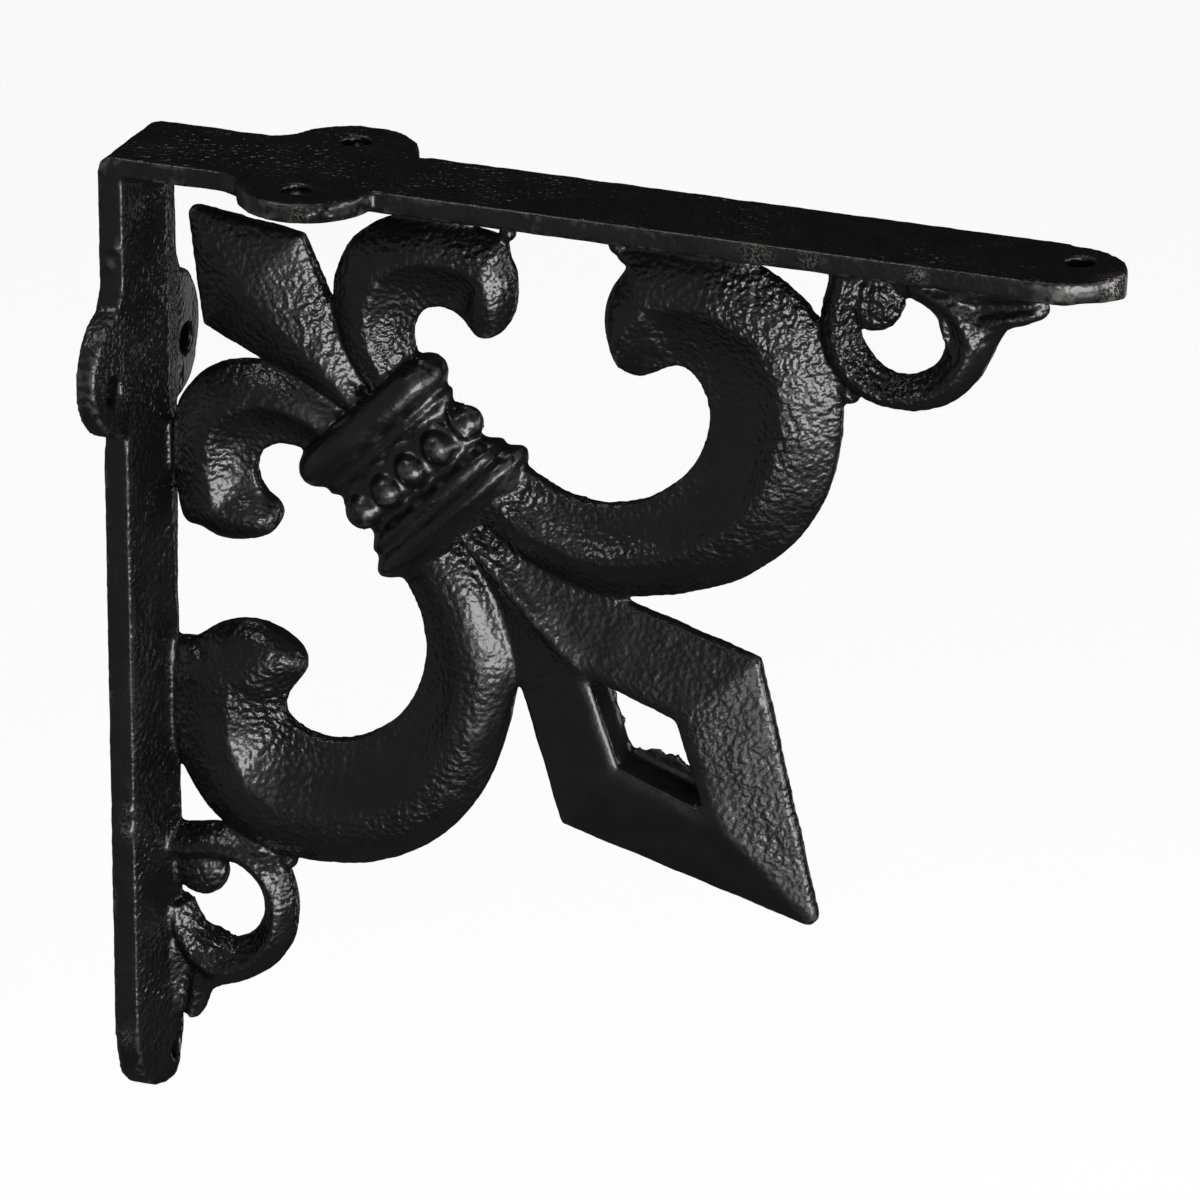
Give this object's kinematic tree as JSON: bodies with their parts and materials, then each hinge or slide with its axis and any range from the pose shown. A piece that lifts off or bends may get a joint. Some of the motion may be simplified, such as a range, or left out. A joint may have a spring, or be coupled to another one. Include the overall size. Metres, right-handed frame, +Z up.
{
  "type": "shelf bracket",
  "caption": "Right-angled cast iron shelf bracket whose angle is filled by a fleur, a beaded collar, C scrolls and a pierced lozenge pendant.",
  "frame": {"origin": "on the flat wall face, midway between the two upper screw holes of the wall flange", "axes": "+X points out of the wall along the shelf flange, +Y runs across the flanges, +Z points up"},
  "size_m": [0.1848, 0.0434, 0.1826],
  "materials": {
    "black_painted_cast_iron": "satin black paint over a rough sand-cast surface"
  },
  "bodies": {
    "root": {"bracket_casting": "black_painted_cast_iron"}
  },
  "joints": []
}
